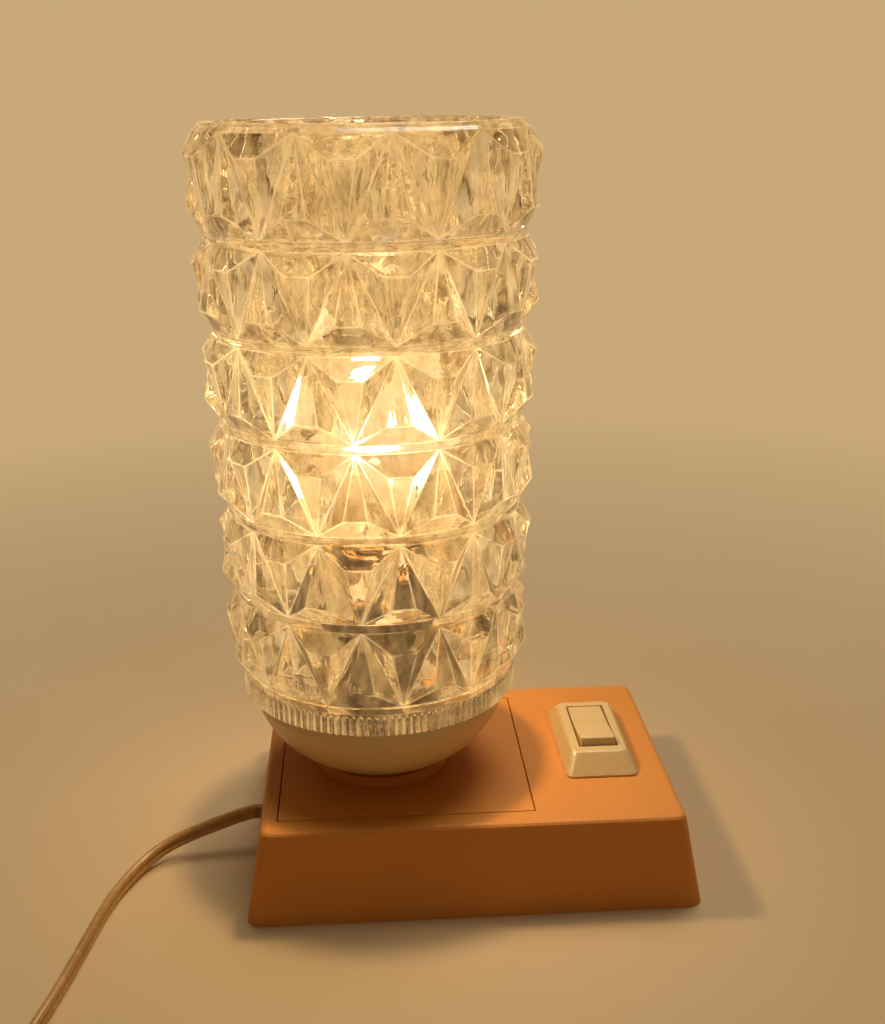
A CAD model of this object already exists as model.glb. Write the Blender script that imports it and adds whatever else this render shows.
# Bedside lamp: cord, pressed-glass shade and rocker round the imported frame, then materials and stage

import math

import bmesh
import bpy
from mathutils import Matrix, Vector, geometry, noise


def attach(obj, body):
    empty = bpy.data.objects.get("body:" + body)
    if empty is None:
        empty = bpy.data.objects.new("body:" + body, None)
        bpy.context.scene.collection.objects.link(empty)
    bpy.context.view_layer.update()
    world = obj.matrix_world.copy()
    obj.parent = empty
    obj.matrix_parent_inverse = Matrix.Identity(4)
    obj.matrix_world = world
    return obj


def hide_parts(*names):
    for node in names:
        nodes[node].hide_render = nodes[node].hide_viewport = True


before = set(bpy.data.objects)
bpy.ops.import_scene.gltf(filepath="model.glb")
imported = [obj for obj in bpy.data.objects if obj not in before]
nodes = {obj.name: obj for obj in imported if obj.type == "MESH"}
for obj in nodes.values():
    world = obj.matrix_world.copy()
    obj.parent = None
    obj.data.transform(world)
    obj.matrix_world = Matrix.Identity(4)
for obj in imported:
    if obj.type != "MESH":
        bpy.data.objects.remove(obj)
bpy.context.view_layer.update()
scene = bpy.context.scene
scene.view_settings.view_transform = "Standard"

# Shapes are written in millimetres and turned into metres by this factor
MM = 0.001

# Camera, fitted to the photo: angles in radians, picture measures in pixels, clip distances in metres

CAM_PLACE = (-33.2865, -438.5135, 272.4365)
CAM_YAW = 0.0587
CAM_PITCH = 0.3853
CAM_ROLL = -0.0116
FOCAL_PX = 1281.4078
FRAME_PX = 1024
AXIS_PX_Y = 607
SENSOR = 36.0
CLIP_NEAR = 0.01
CLIP_FAR = 50


def make_camera():
    flat = math.cos(CAM_PITCH)
    ahead = Vector((math.sin(CAM_YAW) * flat, math.cos(CAM_YAW) * flat, -math.sin(CAM_PITCH)))
    level = Vector((math.cos(CAM_YAW), -math.sin(CAM_YAW), 0))
    upright = level.cross(ahead)
    right = math.cos(CAM_ROLL) * level + math.sin(CAM_ROLL) * upright
    up = math.cos(CAM_ROLL) * upright - math.sin(CAM_ROLL) * level
    data = bpy.data.cameras.new("camera")
    data.sensor_fit = "AUTO"
    data.sensor_width = SENSOR
    data.lens = FOCAL_PX * SENSOR / FRAME_PX
    data.shift_y = (AXIS_PX_Y - FRAME_PX / 2) / FRAME_PX
    data.clip_start = CLIP_NEAR
    data.clip_end = CLIP_FAR
    camera = bpy.data.objects.new("camera", data)
    turn = Matrix((right, up, -ahead)).transposed().to_4x4()
    camera.matrix_world = Matrix.Translation(Vector(CAM_PLACE) * MM) @ turn
    scene.collection.objects.link(camera)
    scene.camera = camera


make_camera()


# Mesh helper

def link_mesh(name, points, faces, smooth=True):
    """New mesh object from points in millimetres."""
    mesh = bpy.data.meshes.new(name)
    mesh.from_pydata([tuple(c * MM for c in p) for p in points], [], faces)
    mesh.validate()
    work = bmesh.new()
    work.from_mesh(mesh)
    bmesh.ops.recalc_face_normals(work, faces=work.faces)
    work.to_mesh(mesh)
    work.free()
    mesh.polygons.foreach_set("use_smooth", [smooth] * len(mesh.polygons))
    mesh.update()
    obj = bpy.data.objects.new(name, mesh)
    scene.collection.objects.link(obj)
    return obj


# Cord: the route of the source, a flat twin cord that lies on edge

CORD_W = 5.8
CORD_T = 2.9
CORD_Z = 14.0
CORD_EXIT = (-79.61, -5.5, CORD_Z)
EXIT_RUN = 2.0
TIE_LOW = 0.05
TIE_T = 0.5
TIE_GAP = 0.35
LAY_Z = TIE_LOW + TIE_T + TIE_GAP + CORD_W / 2
LAYER_GAP = 0.6
LAYER_H = CORD_W + LAYER_GAP
HIGH_Z = LAY_Z + LAYER_H
COIL_X = -184.7
COIL_Y = -147.0
COIL_R = 37.5
COIL_STEP = 3.4
COIL_IN = 4.0
COIL_CLIMB = 0.5
COIL_TURNS = 2 * COIL_IN + COIL_CLIMB
COIL_PTS = 36
PLUG_ON = 66.0
PLUG_X = COIL_X - COIL_R
PLUG_Y = COIL_Y + PLUG_ON
PLUG_H = 13.7
PLUG_Z = PLUG_H / 2
TAIL_L = 22.0
RUN_POINTS = [(-86, -6.2, 13.4), (-97, -9, 10.8), (-110.5, -12.6, 7.4), (-120.2, -20, 4.6),
              (-126.6, -32.3, 3.2), (-131, -45.5, 3), (-134, -64, 3), (-136.8, -82, 3),
              (-139.6, -98, 3), (-142.6, -112, 3), (-145.4, -124, 3.2)]
RUN_STEPS = 6
RUN_ROUNDS = 14
# Way from the coil's middle towards the plug, and height, where the lead comes down
LEAD_FALL = [(20, HIGH_Z - 0.5), (29, PLUG_Z + 1.15)]
LEAD_STEPS = 5
CORE_STEPS = 12
GROOVE_ANGLE = 52
GROOVE_SHARE = 0.48


def smooth_line(points, steps):
    """Catmull-Rom line through the points."""
    line = []
    last = len(points) - 1
    for i in range(last):
        a = Vector(points[max(i - 1, 0)])
        b = Vector(points[i])
        c = Vector(points[i + 1])
        d = Vector(points[min(i + 2, last)])
        for k in range(steps):
            t = k / steps
            line.append(0.5 * (2 * b + (c - a) * t + (2 * a - 5 * b + 4 * c - d) * t * t
                               + (3 * b - a - 3 * c + d) * t ** 3))
    line.append(Vector(points[-1]))
    return line


def relaxed(line, rounds):
    """The same line with small wobbles taken out; the first two points and the last one stay."""
    for _ in range(rounds):
        inner = [(a + 2 * b + c) / 4 for a, b, c in zip(line[1:], line[2:], line[3:])]
        line = line[:2] + inner + line[-1:]
    return line


def coil_point(u):
    """Point of the coil after u turns: inwards, up to the second layer and outwards again."""
    middle = COIL_IN + COIL_CLIMB / 2
    radius = COIL_R - COIL_STEP * (middle - abs(u - middle))
    lift = LAYER_H * max(0.0, min(1.0, (u - COIL_IN) / COIL_CLIMB))
    angle = -2 * math.pi * u
    return Vector((COIL_X + radius * math.cos(angle), COIL_Y + radius * math.sin(angle), LAY_Z + lift))


def cord_line():
    """The whole route: out of the wall, along the floor, round the coil and into the plug's tail."""
    coil_start = COIL_X + COIL_R
    run = [(CORD_EXIT[0] - EXIT_RUN, CORD_EXIT[1], CORD_Z)] + RUN_POINTS
    run.append((coil_start, COIL_Y + 2 * CORD_W, LAY_Z))
    lead = [(PLUG_X, COIL_Y + 2 * CORD_W, HIGH_Z)]
    lead += [(PLUG_X, COIL_Y + way, z) for way, z in LEAD_FALL]
    lead.append((PLUG_X, PLUG_Y - TAIL_L - CORD_W, PLUG_Z))
    line = [Vector(CORD_EXIT)]
    line += relaxed(smooth_line(run, RUN_STEPS), RUN_ROUNDS)
    line.append(Vector((coil_start, COIL_Y + CORD_W, LAY_Z)))
    line += [coil_point(i / COIL_PTS) for i in range(int(COIL_PTS * COIL_TURNS) + 1)]
    line.append(Vector((PLUG_X, COIL_Y + CORD_W, HIGH_Z)))
    line += smooth_line(lead, LEAD_STEPS)
    line.append(Vector((PLUG_X, PLUG_Y - TAIL_L, PLUG_Z)))
    return line


def twin_section():
    """Two round cores above each other with a groove on both sides between them."""
    core = CORD_T / 2
    apart = CORD_W / 2 - core
    section = []
    for side in (1, -1):
        for i in range(CORE_STEPS + 1):
            a = math.radians(-GROOVE_ANGLE + (180 + 2 * GROOVE_ANGLE) * i / CORE_STEPS)
            section.append((side * core * math.cos(a), side * (apart + core * math.sin(a))))
        section.append((-side * GROOVE_SHARE * core, 0.0))
    return section


def sweep(name, line, section):
    """Closed tube of the section along the line, kept upright."""
    points = []
    faces = []
    count = len(section)
    last = len(line) - 1
    for i, p in enumerate(line):
        along = (line[min(i + 1, last)] - line[max(i - 1, 0)]).normalized()
        side = along.cross(Vector((0, 0, 1))).normalized()
        up = side.cross(along)
        points += [p + side * s[0] + up * s[1] for s in section]
    for i in range(last):
        here = i * count
        there = here + count
        for k in range(count):
            n = (k + 1) % count
            faces.append((here + k, here + n, there + n, there + k))
    faces.append(tuple(range(count)))
    faces.append(tuple(range(last * count, (last + 1) * count)))
    return link_mesh(name, points, faces)


route = cord_line()
cord = sweep("cord", route, twin_section())
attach(cord, "base")
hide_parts("cord_run", "cord_coil", "cord_lead")


# Glass shade: bands of pyramids between seams, a toothed ring and neck below, a rim above

AXIS_X = -31.4
FACET_TURN = -6.5
RING_PTS = 48
FACET_N = 12
PER_FACET = RING_PTS // FACET_N
HALF_FACET = PER_FACET // 2
FACET_OUT = 4.1
FACET_EDGE = 8.2
FACET_PLACE = 0.24
BAND_N = 6
BAND_H = 30.45
SEAM_Z = 77.2
SEAM_H = 2.8
SEAM_LOW = 50.2
SEAM_TOP = 54.2
# Rings of a seam's bead from below: share of half its height, and dip below the seam's radius
SEAM_FORM = [(-1, 0), (-0.8, 0.15), (0, 0.25), (0.8, 0.15), (1, 0)]
# The top seam and the raised edges under it stand higher than the other bands' rule gives
TOP_MORE = 2.5
TOP_EDGE_MORE = 2.2
GLASS_T = 6.0
PLAIN_PTS = 96

# Teeth
RING_R = 50.3
RING_Z = 67.6
TEETH = 120
PER_TOOTH = 6
TOOTH_TOP = 74.4
TOOTH_DEPTH = 0.75
TOOTH_POWER = 1.5
# Rings of the teeth from below: height, inset of the crests, depth of the gaps
TOOTH_FORM = [(RING_Z + 0.02, 0.5, TOOTH_DEPTH), (RING_Z + 0.5, 0.0, TOOTH_DEPTH),
              (TOOTH_TOP - 1.2, 0.0, TOOTH_DEPTH), (TOOTH_TOP, 0.1, 0.6), (TOOTH_TOP + 0.8, 0.3, 0.2)]
# Plain ring between the teeth and the lowest band
FOOT_R = SEAM_LOW - 0.25
FOOT_Z = TOOTH_TOP + 1.3

# Neck and inner wall
NECK_R = 37.25
NECK_LOW = 55.1
NECK_IN = 33.25
NECK_SOFT = 0.8
RIM_R = 52.5
SHADE_TOP = 263.5
WALL_LOW_R = SEAM_LOW - GLASS_T - 0.6
WALL_LOW_Z = SEAM_Z + 2.0
WALL_TOP_R = RIM_R - GLASS_T
WALL_TOP_Z = SHADE_TOP - 1.2
WALL_RINGS = 8
# Rings inside from the foot of the neck to the wall: radius and height
INNER_FORM = [(NECK_IN + 0.6, NECK_LOW), (NECK_IN + 1.5, RING_Z + 1), (WALL_LOW_R - 2.6, SEAM_Z - 3.5),
              (WALL_LOW_R, WALL_LOW_Z)]

# Rim
RIM_PTS = 240
RIM_EDGE_R = RIM_R + 0.1
RIM_EDGE_Z = SHADE_TOP - 1.3
RIM_STEPS = [0, 0.07, 0.93, 1]
# Rings of the rim from outside: radius, drop below the top, unevenness
RIM_FORM = [(RIM_R, 0.9, 0.12), (RIM_R - 0.7, 0.25, 0.25), (WALL_TOP_R + 1.2, 0.2, 0.25)]
ROUGH_SCALE = 0.7
ROUGH_RISE = 0.6

# Cuts of a facet, and distances from an edge that points off the facets count with
CUTS = 6
CUT_GRADE = 2.3
PLAIN_INSET = 5.0
CREST_INSET = 0.1
RIM_INSET = 0.2


def around(radius, angle, z):
    """Point about the shade's axis; an angle of 0 degrees looks to the front."""
    a = math.radians(angle)
    return Vector((AXIS_X + radius * math.sin(a), -radius * math.cos(a), z))


def step_angle(i):
    """Angle of one of the steps that all rings of the facets share."""
    return FACET_TURN + 360 / RING_PTS * i


def seam_at(k):
    """Height of a seam's middle; seam 0 is the lowest."""
    more = TOP_MORE if k == BAND_N else 0
    return SEAM_Z + BAND_H * k + more


def seam_rad(z):
    """Radius in the seams at a height; the shade widens towards the top."""
    return SEAM_LOW + (SEAM_TOP - SEAM_LOW) * (z - SEAM_Z) / (BAND_N * BAND_H)


def first_node(k):
    """Step of a seam's first star; the stars of neighbouring seams are half a facet apart."""
    return 0 if k % 2 == 1 else HALF_FACET


def spread_share(t):
    """Shares that crowd towards both ends, so that narrow strips run beside each edge."""
    return t ** CUT_GRADE / (t ** CUT_GRADE + (1 - t) ** CUT_GRADE)


SHARES = [spread_share(i / CUTS) for i in range(CUTS + 1)]


def off_line(p, a, b):
    """Distance of a point from the line through two others."""
    return (p - geometry.intersect_point_line(p, a, b)[0]).length


class Shell:
    """Points and faces of the glass, with shared points found again by place.

    inset holds how far a point of a facet lies from the facet's nearest edge.
    """

    def __init__(self):
        self.points = []
        self.faces = []
        self.known = {}
        self.inset = {}

    def add(self, p):
        """Number of the point at this place, which is new only if none lies there yet."""
        key = (round(p[0], 3), round(p[1], 3), round(p[2], 3))
        if key not in self.known:
            self.known[key] = len(self.points)
            self.points.append(Vector(p))
        return self.known[key]

    def set_inset(self, points, inset):
        for p in points:
            self.inset[self.add(p)] = inset

    def facet_point(self, p, sides):
        """Adds a point of a facet and notes its distance from the nearest side."""
        i = self.add(p)
        self.inset[i] = min(off_line(p, a, b) for a, b in sides)
        return i

    def face(self, *ids):
        """Adds a face, unless points that fall together leave nothing of it."""
        clean = list(dict.fromkeys(ids))
        if len(clean) > 2:
            self.faces.append(tuple(clean))

    def triangle(self, a, b, c):
        """A triangle cut into small ones, closer together at its three sides."""
        sides = [(a, b), (b, c), (c, a)]
        rows = []
        for i in range(CUTS + 1):
            row = []
            for j in range(CUTS + 1 - i):
                u = SHARES[i]
                v = SHARES[j]
                w = SHARES[CUTS - i - j]
                row.append(self.facet_point((a * u + b * v + c * w) / (u + v + w), sides))
            rows.append(row)
        for i in range(CUTS):
            for j in range(CUTS - i):
                self.face(rows[i][j], rows[i][j + 1], rows[i + 1][j])
                if j < CUTS - i - 1:
                    self.face(rows[i][j + 1], rows[i + 1][j + 1], rows[i + 1][j])

    def patch(self, low, high):
        """Strip of faces between two lines of equally many points."""
        sides = [(low[0], high[0]), (low[-1], high[-1]), (high[0], high[-1])]
        low_next = low[1:] + low[-2:-1]
        grid = []
        for s in SHARES:
            grid.append([self.facet_point(a * (1 - s) + b * s, sides + [(c, a)])
                         for a, b, c in zip(low, high, low_next)])
        for r, q in zip(grid, grid[1:]):
            for i in range(len(r) - 1):
                self.face(r[i], r[i + 1], q[i + 1], q[i])

    def bridge(self, low, high):
        """Triangles between two closed rings that may have different numbers of points."""
        a = [self.add(p) for p in low]
        b = [self.add(p) for p in high]
        i = 0
        j = 0
        while i < len(a) or j < len(b):
            if j >= len(b) or (i < len(a) and (i + 1) / len(a) <= (j + 1) / len(b)):
                self.face(a[i % len(a)], a[(i + 1) % len(a)], b[j % len(b)])
                i += 1
            else:
                self.face(a[i % len(a)], b[(j + 1) % len(b)], b[j % len(b)])
                j += 1

    def join(self, rings):
        """Bridges from each ring to the next."""
        for low, high in zip(rings, rings[1:]):
            self.bridge(low, high)


def seam_angles(k):
    """Angles of the points on a seam, crowded towards the stars."""
    out = []
    for j in range(FACET_N):
        start = step_angle(first_node(k) + PER_FACET * j)
        out += [start + SHARES[i] * 360 / FACET_N for i in range(CUTS)]
    return out


def seam_ring(k, side, dip=0.0):
    """Points round a seam, at its upper edge for side 1 and at its lower edge for side -1."""
    z = seam_at(k) + side * SEAM_H / 2
    return [around(seam_rad(seam_at(k)) - dip, a, z) for a in seam_angles(k)]


def raised_edge(a, z):
    """Both ends of the short level edge in which a pyramid ends."""
    radius = seam_rad(z) + FACET_OUT
    flat = Vector((math.cos(math.radians(a)), math.sin(math.radians(a)), 0))
    middle = around(radius, a, z)
    return middle - flat * FACET_EDGE / 2, middle + flat * FACET_EDGE / 2


def facets(shell, base_k, base_side, tip_k, tip_side, edge_z):
    """Pyramids of one band that stand on one of its two seams and point to the other."""
    base_z = seam_at(base_k) + base_side * SEAM_H / 2
    base_r = seam_rad(seam_at(base_k))
    tip_z = seam_at(tip_k) + tip_side * SEAM_H / 2
    tip_r = seam_rad(seam_at(tip_k))
    for j in range(FACET_N):
        start = first_node(base_k) + PER_FACET * j
        middle = step_angle(start + HALF_FACET)
        e0, e1 = raised_edge(middle, edge_z)
        arc = [around(base_r, step_angle(start) + s * 360 / FACET_N, base_z) for s in SHARES]
        tip = around(tip_r, middle, tip_z)
        shell.patch(arc, [e0 * (1 - s) + e1 * s for s in SHARES])
        shell.triangle(arc[0], tip, e0)
        shell.triangle(arc[-1], tip, e1)
        shell.triangle(e0, tip, e1)


def tooth_ring(z, inset, depth):
    """Points round the teeth, which have round crests and deep gaps."""
    count = TEETH * PER_TOOTH
    out = []
    for m in range(count):
        wave = 0.5 - 0.5 * math.cos(2 * math.pi * m / PER_TOOTH)
        out.append(around(RING_R - inset - depth * wave ** TOOTH_POWER, FACET_TURN + 360 / count * m, z))
    return out


def plain_ring(radius, z, count=PLAIN_PTS, rough=0.0):
    """Points round a circle, which may be a little uneven."""
    out = []
    for m in range(count):
        a = FACET_TURN + 360 / count * m
        shake = 0.0
        if rough:
            shake = rough * noise.noise(around(radius, a, z) * ROUGH_SCALE)
        out.append(around(radius + shake, a, z + ROUGH_RISE * shake))
    return out


def add_bands(shell):
    low_edge = SEAM_H / 2 + FACET_PLACE * (BAND_H - SEAM_H)
    for k in range(BAND_N):
        more = TOP_EDGE_MORE if k == BAND_N - 1 else 0
        facets(shell, k, 1, k + 1, -1, seam_at(k) + low_edge)
        facets(shell, k + 1, -1, k, 1, seam_at(k) + BAND_H - low_edge + more)
    for k in range(1, BAND_N):
        shell.join([seam_ring(k, side, dip) for side, dip in SEAM_FORM])


def add_teeth(shell):
    """The toothed ring up to the lowest band; gives back its lowest ring of points."""
    foot = [around(FOOT_R, a, FOOT_Z) for a in seam_angles(0)]
    shell.bridge(foot, seam_ring(0, 1))
    teeth = [tooth_ring(z, inset, depth) for z, inset, depth in TOOTH_FORM]
    shell.join(teeth + [foot])
    for ring in teeth[1:-1]:
        for m, p in enumerate(ring):
            crest = m % PER_TOOTH in (0, 1, PER_TOOTH - 1)
            shell.set_inset([p], CREST_INSET if crest else PLAIN_INSET)
    return teeth[0]


def add_inside(shell, teeth_low):
    """Neck and inner wall; gives back the wall's highest ring of points."""
    neck = plain_ring(NECK_R, NECK_LOW + NECK_SOFT)
    shell.join([neck, plain_ring(NECK_R, RING_Z), teeth_low])
    inner = [plain_ring(radius, z) for radius, z in INNER_FORM]
    for i in range(1, WALL_RINGS + 1):
        t = i / WALL_RINGS
        inner.append(plain_ring(WALL_LOW_R + (WALL_TOP_R - WALL_LOW_R) * t,
                                WALL_LOW_Z + (WALL_TOP_Z - WALL_LOW_Z) * t))
    shell.join([neck, plain_ring(NECK_R - NECK_SOFT, NECK_LOW)] + inner)
    return inner[-1]


def add_rim(shell, wall_top):
    seam = seam_ring(BAND_N, -1)
    edge = [around(RIM_EDGE_R, a, RIM_EDGE_Z) for a in seam_angles(BAND_N)]
    steps = [[a + (b - a) * t for a, b in zip(seam, edge)] for t in RIM_STEPS]
    shell.join(steps)
    rim = [plain_ring(radius, SHADE_TOP - drop, RIM_PTS, rough) for radius, drop, rough in RIM_FORM]
    shell.join([edge] + rim + [wall_top])
    for ring in steps[1:3] + [edge] + rim:
        shell.set_inset(ring, RIM_INSET)


def make_glass():
    shell = Shell()
    add_bands(shell)
    teeth_low = add_teeth(shell)
    wall_top = add_inside(shell, teeth_low)
    add_rim(shell, wall_top)
    made = link_mesh("glass", shell.points, shell.faces)
    inset = made.data.attributes.new("inset", "FLOAT", "POINT")
    for i in range(len(shell.points)):
        inset.data[i].value = shell.inset.get(i, PLAIN_INSET)
    return made


# Rocker of the switch: two slopes that meet in the middle, with soft edges and the leg below

ROCKER_PIVOT = (50.2, 3.4, 36.8)
ROCKER_W = 13.3
ROCKER_SWING = 11.0
ROCKER_SKIRT = -2.8
ROCKER_SOFT = 0.7
SOFT_CUTS = 4
SOFT_FROM = ROCKER_SKIRT + 0.1
ROCKER_LINE = [(16.5, ROCKER_SKIRT), (16.65, 2.0), (16.35, 5.75), (0, 4.4), (-16.35, 5.75),
               (-16.65, 2.0), (-16.5, ROCKER_SKIRT)]
LEG_W = 6.0
LEG_LOW = -9.0


def make_rocker():
    work = bmesh.new()
    left, right = [[work.verts.new((s * ROCKER_W / 2, y, z)) for y, z in ROCKER_LINE] for s in (-1, 1)]
    soft = []
    for side in (left, right):
        face = work.faces.new(side)
        soft += [e for e in face.edges if any(v.co.z > SOFT_FROM for v in e.verts)]
    for i in range(len(ROCKER_LINE) - 1):
        face = work.faces.new((left[i], left[i + 1], right[i + 1], right[i]))
        soft += [e for e in face.edges if all(v.co.z > SOFT_FROM for v in e.verts)]
    outer = [left[0], right[0], right[-1], left[-1]]
    half = LEG_W / 2
    corners = [(-half, half), (half, half), (half, -half), (-half, -half)]
    root = [work.verts.new((x, y, ROCKER_SKIRT)) for x, y in corners]
    foot = [work.verts.new((x, y, LEG_LOW)) for x, y in corners]
    for i in range(len(corners)):
        n = (i + 1) % len(corners)
        work.faces.new((outer[i], outer[n], root[n], root[i]))
        work.faces.new((root[i], root[n], foot[n], foot[i]))
    work.faces.new(foot)
    bmesh.ops.bevel(work, geom=list(dict.fromkeys(soft)), offset=ROCKER_SOFT, segments=SOFT_CUTS,
                    profile=0.5, affect="EDGES")
    bmesh.ops.recalc_face_normals(work, faces=work.faces)
    turn = Matrix.Rotation(math.radians(-ROCKER_SWING / 2), 4, "X")
    place = Matrix.Scale(MM, 4) @ Matrix.Translation(ROCKER_PIVOT) @ turn
    bmesh.ops.transform(work, matrix=place, verts=work.verts)
    mesh = bpy.data.meshes.new("rocker")
    work.to_mesh(mesh)
    work.free()
    obj = bpy.data.objects.new("rocker", mesh)
    scene.collection.objects.link(obj)
    return obj


rocker = make_rocker()
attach(rocker, "rocker")
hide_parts("switch_rocker")

glass = make_glass()
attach(glass, "shade")
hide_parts("glass_shade")


# Node helpers

# The part of its range that a noise mostly fills
NOISE_SPAN = (0.3, 0.7)
WHOLE = (0.0, 1.0)


def fill(tree, made, inputs):
    """Sets a node's inputs: a socket is linked, a number or colour is set on the input itself."""
    for key, value in inputs.items():
        if isinstance(value, bpy.types.NodeSocket):
            tree.links.new(value, made.inputs[key])
        else:
            made.inputs[key].default_value = value


def node(tree, kind, inputs=None, **settings):
    """New node with its settings and inputs."""
    made = tree.nodes.new(kind)
    for key, value in settings.items():
        setattr(made, key, value)
    fill(tree, made, inputs or {})
    return made


def new_material(name):
    material = bpy.data.materials.new(name)
    material.use_nodes = True
    tree = material.node_tree
    return material, tree, tree.nodes["Principled BSDF"]


def show(tree, shader):
    """Makes a shader the one that the surface shows."""
    fill(tree, tree.nodes["Material Output"], {"Surface": shader})


def place_of(tree, stretch=None):
    """Place on the object in metres, which a stretch scales along each axis."""
    where = node(tree, "ShaderNodeTexCoord").outputs["Object"]
    if stretch is None:
        return where
    return node(tree, "ShaderNodeMapping", {"Vector": where, "Scale": stretch}).outputs["Vector"]


def noise_of(tree, place, scale, detail=3.0, rough=0.5):
    inputs = {"Vector": place, "Scale": scale, "Detail": detail, "Roughness": rough}
    return node(tree, "ShaderNodeTexNoise", inputs).outputs["Fac"]


def ramp_of(tree, value, stops):
    made = node(tree, "ShaderNodeValToRGB", {"Fac": value})
    ramp = made.color_ramp
    while len(ramp.elements) < len(stops):
        ramp.elements.new(0.5)
    for element, (place, colour) in zip(ramp.elements, stops):
        element.position = place
        element.color = (*colour, 1)
    return made.outputs["Color"]


def two_tone(tree, value, dark, light, span=NOISE_SPAN):
    return ramp_of(tree, value, [(span[0], dark), (span[1], light)])


def range_of(tree, value, source, target):
    """The value with the source range carried over to the target range, and held at its ends."""
    inputs = {"Value": value, "From Min": source[0], "From Max": source[1],
              "To Min": target[0], "To Max": target[1]}
    return node(tree, "ShaderNodeMapRange", inputs).outputs["Result"]


def bump_of(tree, height, strength, distance, before=None):
    inputs = {"Height": height, "Strength": strength, "Distance": distance}
    if before is not None:
        inputs["Normal"] = before
    return node(tree, "ShaderNodeBump", inputs).outputs["Normal"]


def math_of(tree, operation, *values):
    """Result of one step of maths; each value is a socket or a number."""
    return node(tree, "ShaderNodeMath", dict(enumerate(values)), operation=operation).outputs["Value"]


def largest(tree, values):
    """The largest of several sockets."""
    top = values[0]
    for value in values[1:]:
        top = math_of(tree, "MAXIMUM", top, value)
    return top


def mix_of(tree, share, first, second):
    """Two shaders mixed; a share of 1 is all the second."""
    return node(tree, "ShaderNodeMixShader", {"Fac": share, 1: first, 2: second}).outputs["Shader"]


def srgb(r, g, b):
    """Linear colour from the usual values of 0 to 255."""
    def line(c):
        c = c / 255
        return c / 12.92 if c <= 0.04045 else ((c + 0.055) / 1.055) ** 2.4
    return line(r), line(g), line(b)


# Materials: noise scales are per metre, bump distances in metres

def plastic(name, dark, light, rough, grain, spec=0.5):
    """Moulded plastic: slow colour drift, fine skin, faint scratches and a little dust in the gloss."""
    material, tree, shader = new_material(name)
    place = place_of(tree)
    drift = noise_of(tree, place, scale=14, detail=4, rough=0.6)
    dust = noise_of(tree, place, scale=55, detail=5, rough=0.7)
    skin = noise_of(tree, place, scale=1500, detail=2)
    scratch = noise_of(tree, place_of(tree, stretch=(260, 14, 60)), scale=9, detail=2, rough=0.4)
    lines = range_of(tree, scratch, (0.64, 0.70), WHOLE)
    fine = bump_of(tree, skin, strength=grain, distance=0.00012)
    fill(tree, shader, {
        "Base Color": two_tone(tree, drift, dark, light),
        "Roughness": range_of(tree, dust, NOISE_SPAN, (rough - 0.07, rough + 0.09)),
        "Normal": bump_of(tree, lines, strength=0.05, distance=0.00008, before=fine),
        "Specular IOR Level": spec,
    })
    return material


def metal(name, dark, light, rough):
    """Drawn or turned metal with fine lines and duller patches."""
    material, tree, shader = new_material(name)
    tarnish = noise_of(tree, place_of(tree), scale=120, detail=5, rough=0.65)
    lines = noise_of(tree, place_of(tree, stretch=(1, 1, 40)), scale=300)
    fill(tree, shader, {
        "Metallic": 1.0,
        "Base Color": two_tone(tree, tarnish, dark, light, (0.35, 0.65)),
        "Roughness": range_of(tree, tarnish, NOISE_SPAN, (rough, rough + 0.2)),
        "Normal": bump_of(tree, lines, strength=0.12, distance=0.00005),
    })
    return material


def ceramic(name, dark, light):
    """Glazed ceramic with faint clouds."""
    material, tree, shader = new_material(name)
    place = place_of(tree)
    cloud = noise_of(tree, place, scale=40)
    glaze = noise_of(tree, place, scale=700, detail=2)
    fill(tree, shader, {
        "Base Color": two_tone(tree, cloud, dark, light),
        "Roughness": range_of(tree, cloud, NOISE_SPAN, (0.18, 0.3)),
        "Normal": bump_of(tree, glaze, strength=0.05, distance=0.0001),
    })
    return material


def cord_material():
    """Soft shiny cord plastic, a little uneven in colour."""
    material, tree, shader = new_material("cord_plastic")
    place = place_of(tree)
    drift = noise_of(tree, place, scale=35, detail=4, rough=0.6)
    dust = noise_of(tree, place, scale=160, detail=4, rough=0.6)
    skin = noise_of(tree, place, scale=900)
    fill(tree, shader, {
        "Base Color": two_tone(tree, drift, srgb(166, 122, 66), srgb(188, 144, 84)),
        "Roughness": range_of(tree, dust, NOISE_SPAN, (0.2, 0.34)),
        "Normal": bump_of(tree, skin, strength=0.05, distance=0.0001),
    })
    return material


# Distances from a facet's edge, in millimetres, over which the edge is rounded and hazy
EDGE_ROLL = 1.1
EDGE_HAZE = 0.55
# Roughness and share of haze right on the edge, and how far wear takes the haze away again
EDGE_ROUGH = 0.2
EDGE_SHARE = 0.32
EDGE_WORN = 0.4
# The glass itself, its glowing streaks and its film of dust
GLASS_IOR = 1.5
AGATE_RINGS = 30.0
SMOKE_COLOUR = [(0.33, (0.56, 0.43, 0.26)), (0.47, (0.985, 0.945, 0.82))]
STREAK_GLOW = [(0.44, (0.0, 0.0, 0.0)), (0.62, (1.0, 0.58, 0.2))]
STREAK_POWER = 0.12
FILM_ROUGH = (0.0, 0.035)
FILM_SHARE = (0.008, 0.026)
DUST_COLOUR = (1.0, 0.92, 0.72, 1)
DUST_GLOW = (1.0, 0.6, 0.22, 1)
DUST_POWER = 0.66
# A ray that the glass has turned more often than this goes straight on, a little dimmed
GLASS_TURNS = 2.5
STRAIGHT_COLOUR = [(0.0, (0.95, 0.95, 0.92)), (1.0, (0.52, 0.44, 0.3))]


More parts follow.
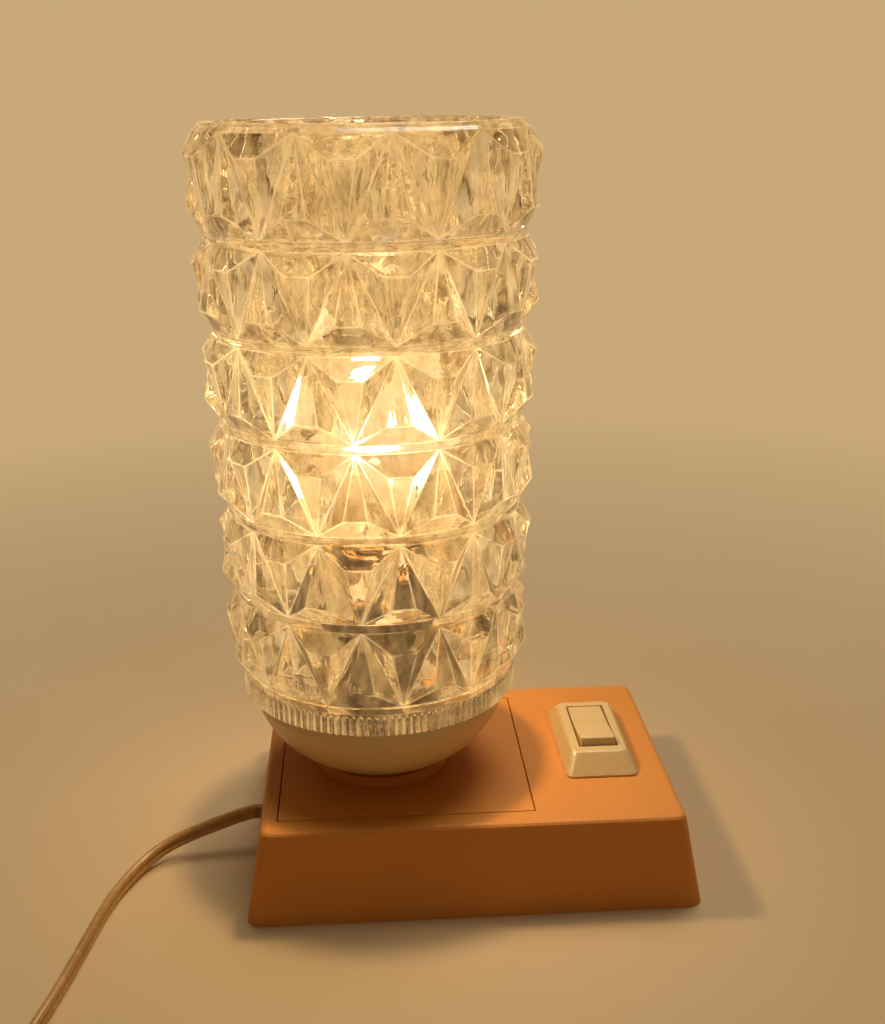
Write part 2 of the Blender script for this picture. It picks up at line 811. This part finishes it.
def glass_bump(tree, place, inset):
    """Ring-like flow lines, fire-polish waves and edges that roll off."""
    flow = noise_of(tree, place, scale=55, detail=1, rough=0.4)
    rings = math_of(tree, "SINE", math_of(tree, "MULTIPLY", flow, AGATE_RINGS))
    waves = noise_of(tree, place, scale=260, detail=2, rough=0.4)
    roll = range_of(tree, inset, (0.0, EDGE_ROLL), WHOLE)
    chatter = bump_of(tree, rings, strength=0.2, distance=0.00016)
    ripple = bump_of(tree, waves, strength=0.2, distance=0.0004, before=chatter)
    return bump_of(tree, roll, strength=1.0, distance=0.00015, before=ripple)


def glass_dust(tree):
    """Dust and worn edges, which scatter light both ways and carry some of the bulb's glow."""
    through = node(tree, "ShaderNodeBsdfTranslucent", {"Color": DUST_COLOUR})
    back = node(tree, "ShaderNodeBsdfDiffuse", {"Color": DUST_COLOUR})
    glow = node(tree, "ShaderNodeEmission", {"Color": DUST_GLOW, "Strength": DUST_POWER})
    haze = mix_of(tree, 0.5, through.outputs["BSDF"], back.outputs["BSDF"])
    return node(tree, "ShaderNodeAddShader", {0: haze, 1: glow.outputs["Emission"]}).outputs["Shader"]


def shade_glass_material():
    """Clear pressed glass with smoky streaks and a film of dust; light rays pass it straight."""
    material, tree, shader = new_material("shade_glass")
    place = place_of(tree)
    inset = node(tree, "ShaderNodeAttribute", attribute_name="inset").outputs["Fac"]
    smoke = noise_of(tree, place_of(tree, stretch=(1.0, 1.0, 0.5)), scale=170, detail=4, rough=0.6)
    streaks = noise_of(tree, place_of(tree, stretch=(1.0, 1.0, 0.4)), scale=210, detail=3, rough=0.55)
    film = noise_of(tree, place, scale=60, detail=5, rough=0.7)
    film_rough = range_of(tree, film, (0.45, 0.75), FILM_ROUGH)
    edge_rough = range_of(tree, inset, (0.0, EDGE_HAZE), (EDGE_ROUGH, 0.0))
    fill(tree, shader, {
        "Base Color": ramp_of(tree, smoke, SMOKE_COLOUR),
        "Transmission Weight": 1.0,
        "IOR": GLASS_IOR,
        "Emission Color": ramp_of(tree, streaks, STREAK_GLOW),
        "Emission Strength": STREAK_POWER,
        "Roughness": largest(tree, [film_rough, edge_rough]),
        "Normal": glass_bump(tree, place, inset),
    })
    patches = range_of(tree, noise_of(tree, place, scale=60, detail=2), (0.42, 0.6), (0.0, EDGE_WORN))
    worn = math_of(tree, "ADD", inset, patches)
    lines = range_of(tree, worn, (0.0, EDGE_HAZE), (EDGE_SHARE, 0.0))
    share = largest(tree, [range_of(tree, film, (0.35, 0.75), FILM_SHARE), lines])
    dusty = mix_of(tree, share, shader.outputs["BSDF"], glass_dust(tree))
    rays = node(tree, "ShaderNodeLightPath").outputs
    deep = math_of(tree, "GREATER_THAN", rays["Glossy Depth"], GLASS_TURNS)
    straight = node(tree, "ShaderNodeBsdfTransparent", {"Color": ramp_of(tree, deep, STRAIGHT_COLOUR)})
    pass_on = largest(tree, [rays["Is Shadow Ray"], rays["Is Diffuse Ray"], deep])
    show(tree, mix_of(tree, pass_on, dusty, straight.outputs["BSDF"]))
    return material


# Places and heights of the bulb's glow, in metres
BULB_HOT = (AXIS_X * MM, 0.0, 0.158)
BULB_SPAN = (0.105, 0.187)
BULB_POWER = 0.55
BULB_CLEAR = (0.5, 0.6)
BULB_GLOW = [(0.0, (0.3, 0.11, 0.02)), (0.28, (0.5, 0.23, 0.05)), (0.5, (0.8, 0.5, 0.21)),
             (0.68, (1.0, 0.82, 0.52)), (0.85, (0.97, 0.68, 0.36)), (1.0, (0.75, 0.44, 0.2))]


def bulb_material():
    """Pearl bulb that is lit: hottest round the filament, fading towards the neck."""
    material, tree, shader = new_material("bulb_lit")
    place = place_of(tree)
    z = node(tree, "ShaderNodeSeparateXYZ", {"Vector": place}).outputs["Z"]
    height = range_of(tree, z, BULB_SPAN, WHOLE)
    pearl = noise_of(tree, place, scale=900, detail=2)
    fill(tree, shader, {
        "Base Color": (*srgb(92, 80, 62), 1),
        "Roughness": range_of(tree, pearl, NOISE_SPAN, (0.2, 0.34)),
        "Emission Color": ramp_of(tree, height, BULB_GLOW),
        "Emission Strength": BULB_POWER,
    })
    straight = node(tree, "ShaderNodeBsdfTransparent").outputs["BSDF"]
    shadow = node(tree, "ShaderNodeLightPath").outputs["Is Shadow Ray"]
    clear = largest(tree, [shadow, range_of(tree, pearl, WHOLE, BULB_CLEAR)])
    show(tree, mix_of(tree, clear, shader.outputs["BSDF"], straight))
    return material


MATERIALS = {
    "holder": plastic("holder_plastic", srgb(108, 76, 34), srgb(134, 96, 46), 0.28, 0.05),
    "orange": plastic("orange_plastic", srgb(210, 131, 46), srgb(220, 141, 54), 0.52, 0.10, spec=0.35),
    "cream": plastic("cream_plastic", srgb(214, 180, 121), srgb(224, 192, 135), 0.36, 0.06),
    "dark": plastic("dark_plastic", srgb(34, 26, 22), srgb(48, 38, 32), 0.30, 0.05),
    "brown_wire": plastic("brown_wire", srgb(104, 62, 34), srgb(124, 76, 44), 0.45, 0.08),
    "blue_wire": plastic("blue_wire", srgb(52, 82, 132), srgb(66, 98, 150), 0.45, 0.08),
    "brass": metal("brass", srgb(150, 112, 52), srgb(206, 166, 92), 0.26),
    "steel": metal("steel", srgb(130, 130, 132), srgb(188, 188, 190), 0.28),
    "porcelain": ceramic("porcelain", srgb(222, 216, 202), srgb(238, 234, 222)),
    "glass": shade_glass_material(),
    "bulb": bulb_material(),
    "cord": cord_material(),
}
FINISH = {
    "orange": ["base_housing", "holder_plate", "bottom_cover"],
    "cream": ["holder_cup", "switch_bezel", "switch_rocker", "cord_clamp"],
    "holder": ["socket_cap", "socket_skirt"],
    "dark": ["switch_body", "cord_bushing", "bulb_insulator", "plunger", "coil_tie"],
    "porcelain": ["socket_core", "bulb_stem"],
    "brass": ["nipple", "nipple_nut", "cup_nut", "lock_nut", "screw_shell", "centre_contact",
              "socket_terminals", "bulb_cap", "contact_lever", "lever_saddle", "fixed_contact",
              "switch_terminals"],
    "steel": ["cover_screws", "plate_screws", "nipple_washer", "bezel_screws", "rocker_pin",
              "plunger_spring", "terminal_screws", "clamp_screws", "plug_pins", "bulb_tip",
              "bulb_leads", "bulb_filament"],
    "brown_wire": ["live_wire", "switch_wire"],
    "blue_wire": ["neutral_wire"],
    "cord": ["cord_tail", "plug_body", "cord_run", "cord_coil", "cord_lead"],
    "glass": ["glass_shade"],
    "bulb": ["bulb_glass"],
}


def dress(obj, finish):
    obj.data.materials.clear()
    obj.data.materials.append(MATERIALS[finish])


for finish, names in FINISH.items():
    for name in names:
        dress(nodes[name], finish)
dress(glass, "glass")
dress(cord, "cord")
dress(rocker, "cream")

# Stage: a pale floor that fades into a plain backdrop, soft light from above and behind, and the lit bulb

PALE = srgb(201, 169, 122)
ROOM = srgb(92, 64, 35)
ROOM_FADE = (0.1, 0.45)
FLOOR_R = 4000.0
FLOOR_PTS = 96
FLOOR_DARK = srgb(204, 174, 130)
FLOOR_LIGHT = srgb(211, 182, 139)
FLOOR_FADE = (0.16, 0.7)
FLOOR_BOUNCE = 0.4
SOFT_COLOUR = (1.0, 0.8, 0.56, 1)
SOFT_POWER = 0.125
KEY_PLACE = (0.25, 0.6, 1.5)
KEY_TARGET = (0, 0, 0.05)
KEY_SIZE = 1.0
KEY_POWER = 12.5
KEY_COLOUR = (1.0, 0.94, 0.86)
GLOW_SIZE = 0.0095
GLOW_POWER = 0.65
GLOW_COLOUR = (1.0, 0.74, 0.42)


def floor_material():
    """Pale floor that takes shadows near the lamp and turns into the backdrop's colour further out."""
    material, tree, shader = new_material("floor")
    place = place_of(tree)
    cloud = noise_of(tree, place, scale=3)
    fill(tree, shader, {
        "Base Color": two_tone(tree, cloud, FLOOR_DARK, FLOOR_LIGHT),
        "Roughness": 0.75,
        "Specular IOR Level": 0.2,
    })
    far = node(tree, "ShaderNodeVectorMath", {0: place}, operation="LENGTH").outputs["Value"]
    fade = range_of(tree, far, FLOOR_FADE, WHOLE)
    diffuse = node(tree, "ShaderNodeLightPath").outputs["Is Diffuse Ray"]
    bounce = range_of(tree, diffuse, WHOLE, (1.0, FLOOR_BOUNCE))
    share = math_of(tree, "MULTIPLY", fade, bounce)
    plain = node(tree, "ShaderNodeEmission", {"Color": (*PALE, 1)}).outputs["Emission"]
    show(tree, mix_of(tree, share, shader.outputs["BSDF"], plain))
    return material


def make_floor():
    points = []
    for i in range(FLOOR_PTS):
        a = 2 * math.pi * i / FLOOR_PTS
        points.append((FLOOR_R * math.cos(a), FLOOR_R * math.sin(a), 0.0))
    floor = link_mesh("floor", points, [tuple(range(FLOOR_PTS))], smooth=False)
    floor.data.materials.append(floor_material())


def make_world():
    world = bpy.data.worlds.new("studio")
    scene.world = world
    world.use_nodes = True
    tree = world.node_tree
    soft = tree.nodes["Background"]
    fill(tree, soft, {"Color": SOFT_COLOUR, "Strength": SOFT_POWER})
    way = node(tree, "ShaderNodeTexCoord").outputs["Generated"]
    z = node(tree, "ShaderNodeSeparateXYZ", {"Vector": way}).outputs["Z"]
    wall = two_tone(tree, z, PALE, ROOM, ROOM_FADE)
    seen = node(tree, "ShaderNodeBackground", {"Color": wall, "Strength": 1.0})
    rays = node(tree, "ShaderNodeLightPath").outputs
    looks = largest(tree, [rays["Is Camera Ray"], rays["Is Glossy Ray"], rays["Is Transmission Ray"]])
    mix = mix_of(tree, looks, soft.outputs["Background"], seen.outputs["Background"])
    fill(tree, tree.nodes["World Output"], {"Surface": mix})


def key_light():
    data = bpy.data.lights.new("key", "AREA")
    data.shape = "DISK"
    data.size = KEY_SIZE
    data.energy = KEY_POWER
    data.color = KEY_COLOUR
    lamp = bpy.data.objects.new("key", data)
    lamp.location = KEY_PLACE
    lamp.rotation_mode = "QUATERNION"
    lamp.rotation_quaternion = (Vector(KEY_TARGET) - Vector(KEY_PLACE)).to_track_quat("-Z", "Y")
    scene.collection.objects.link(lamp)


def bulb_light():
    """A small light inside the bulb, which moves with it."""
    data = bpy.data.lights.new("glow", "POINT")
    data.shadow_soft_size = GLOW_SIZE
    data.energy = GLOW_POWER
    data.color = GLOW_COLOUR
    lamp = bpy.data.objects.new("glow", data)
    lamp.location = BULB_HOT
    lamp.parent = nodes["bulb_glass"]
    scene.collection.objects.link(lamp)


make_floor()
make_world()
bulb_light()
key_light()
